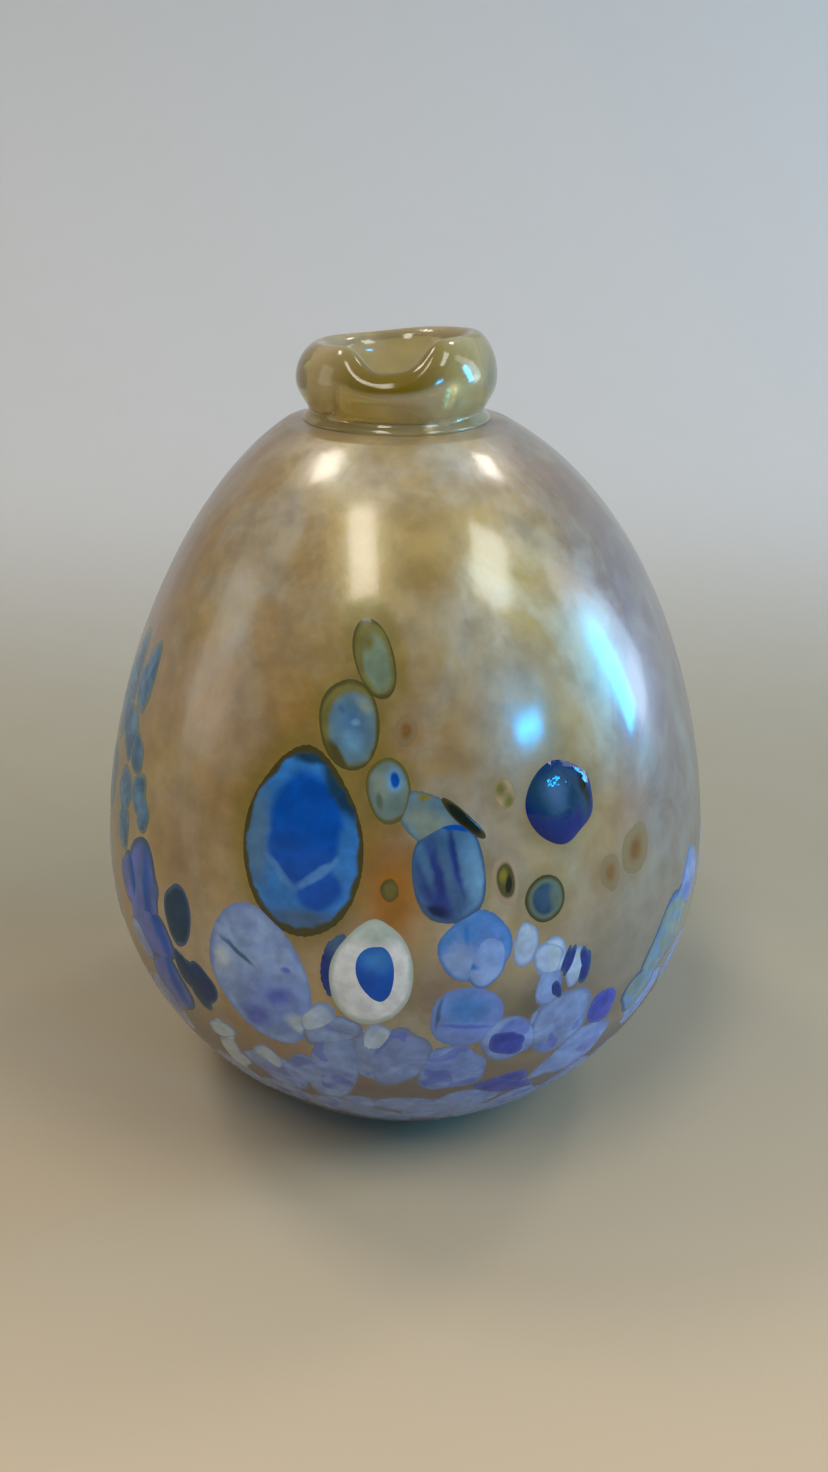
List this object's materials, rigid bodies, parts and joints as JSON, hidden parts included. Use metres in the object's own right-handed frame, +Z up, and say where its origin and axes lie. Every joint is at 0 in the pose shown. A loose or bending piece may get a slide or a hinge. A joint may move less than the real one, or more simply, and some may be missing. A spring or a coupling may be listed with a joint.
{
  "type": "hand blown art glass vase",
  "caption": "Small egg shaped hand blown glass vase in lustred amber glass, with a rolled lip collar and blue, white and olive glass chips melted into its wall.",
  "frame": {"origin": "centre of the flat ring that the vase stands on", "axes": "+Z up through the mouth, -Y to the front, where the dip in the rim and the large blue chip are, +X to the viewer's right"},
  "size_m": [0.0898, 0.0898, 0.1135],
  "materials": {
    "amber_glass": "gloss",
    "lip_glass": "gloss",
    "strong_blue_glass": "gloss",
    "grey_blue_glass": "gloss",
    "sea_grey_glass": "gloss",
    "pale_blue_glass": "gloss",
    "white_glass": "gloss",
    "navy_glass": "gloss",
    "cobalt_glass": "gloss",
    "violet_glass": "gloss",
    "olive_glass": "gloss",
    "dark_olive_glass": "gloss",
    "burnt_amber_glass": "gloss"
  },
  "bodies": {
    "root": {"glass_body": "amber_glass", "lip_collar": "lip_glass", "punty_seal": "amber_glass", "eye_chip": "strong_blue_glass", "top_oval_chip": "sea_grey_glass", "second_oval_chip": "grey_blue_glass", "spotted_head_chip": "sea_grey_glass", "pale_neck_chip": "sea_grey_glass", "folded_blue_chip": "grey_blue_glass", "dark_arc_chip": "dark_olive_glass", "light_blue_chip": "pale_blue_glass", "murrine_ring": "white_glass", "murrine_core": "strong_blue_glass", "navy_crescent_chip": "navy_glass", "ghost_disc_chip": "olive_glass", "cobalt_chip": "cobalt_glass", "tiny_olive_chip": "olive_glass", "dark_sliver_chip": "dark_olive_glass", "teal_round_chip": "grey_blue_glass", "periwinkle_chip": "pale_blue_glass", "striped_chip": "pale_blue_glass", "small_white_chips": "white_glass", "navy_stripe_chips": "navy_glass", "violet_chips": "violet_glass", "lower_band_chips": "pale_blue_glass", "left_white_chips": "white_glass", "left_steel_chips": "grey_blue_glass", "left_cobalt_chip": "violet_glass", "left_navy_chip": "navy_glass", "left_streak_chip": "grey_blue_glass", "right_teal_chip": "grey_blue_glass", "amber_chips": "burnt_amber_glass", "back_eye_chip": "strong_blue_glass", "back_blue_chips": "grey_blue_glass", "back_pale_chips": "pale_blue_glass", "back_band_chips": "pale_blue_glass"}
  },
  "joints": []
}
